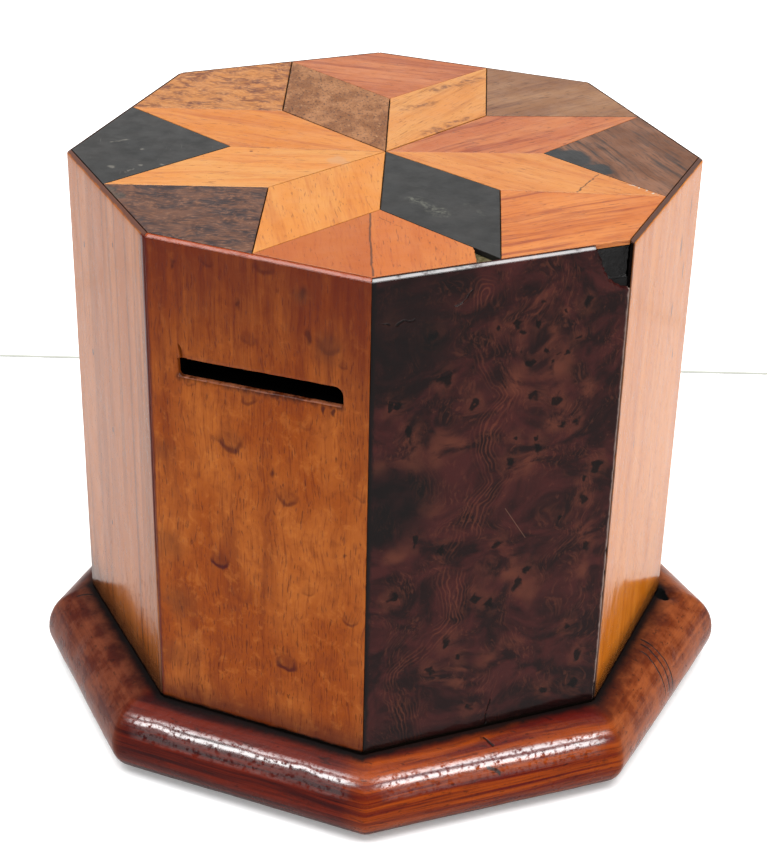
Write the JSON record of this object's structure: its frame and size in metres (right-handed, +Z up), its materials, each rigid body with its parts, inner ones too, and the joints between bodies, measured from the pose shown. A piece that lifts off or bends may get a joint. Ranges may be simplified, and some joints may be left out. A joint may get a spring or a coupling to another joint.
{
  "type": "coin bank",
  "caption": "Octagonal wooden money box with a coin slot in its front side, a veneered star on its closed top and a round-edged base board.",
  "frame": {"origin": "on the underside of the base board, under the middle of its bounding box", "axes": "+Z up through the star on the top, -Y out of the front side with the coin slot, +X to the right seen from the front"},
  "size_m": [0.1324, 0.1276, 0.1147],
  "materials": {
    "mahogany": "french polished, glossy on the rounded edge, dull and dirty beside the body",
    "carcass_wood": "bare, aged and unpolished softwood",
    "birds_eye_maple": "french polished veneer, golden brown with small eyes",
    "dark_burr": "french polished burr veneer, dark purple brown with lighter swirls",
    "satinwood": "french polished veneer, orange with fine upright grain",
    "tulipwood": "french polished veneer, red brown with darker upright stripes",
    "walnut": "french polished veneer",
    "yew": "french polished veneer",
    "rosewood": "french polished veneer",
    "red_veneer": "worn satin veneer, reddish orange",
    "golden_veneer": "worn satin veneer, light golden orange",
    "ebony": "worn satin veneer, black with fine scratches",
    "speckled_veneer": "worn satin veneer, speckled brown",
    "golden_burr": "worn satin burr veneer, mottled gold",
    "streaked_rosewood": "worn satin veneer, dark brown with black streaks",
    "grey_walnut": "worn satin veneer, greyish brown"
  },
  "bodies": {
    "root": {"base_board": "mahogany", "side_board_front": "carcass_wood", "side_board_front_right": "carcass_wood", "side_board_right": "carcass_wood", "side_board_back_right": "carcass_wood", "side_board_back": "carcass_wood", "side_board_back_left": "carcass_wood", "side_board_left": "carcass_wood", "side_board_front_left": "carcass_wood", "top_board": "carcass_wood", "side_veneer_front": "birds_eye_maple", "side_veneer_front_right": "dark_burr", "side_veneer_right": "satinwood", "side_veneer_back_right": "walnut", "side_veneer_back": "yew", "side_veneer_back_left": "rosewood", "side_veneer_left": "mahogany", "side_veneer_front_left": "tulipwood", "star_rhomb_front": "golden_veneer", "star_rhomb_front_right": "ebony", "star_rhomb_right": "golden_veneer", "star_rhomb_back_right": "red_veneer", "star_rhomb_back": "golden_veneer", "star_rhomb_back_left": "speckled_veneer", "star_rhomb_left": "golden_veneer", "star_rhomb_front_left": "golden_veneer", "corner_kite_front_left_to_front": "dark_burr", "corner_kite_front_to_front_right": "red_veneer", "corner_kite_front_right_to_right": "red_veneer", "corner_kite_right_to_back_right": "streaked_rosewood", "corner_kite_back_right_to_back": "grey_walnut", "corner_kite_back_to_back_left": "red_veneer", "corner_kite_back_left_to_left": "golden_burr", "corner_kite_left_to_front_left": "ebony"}
  },
  "joints": []
}
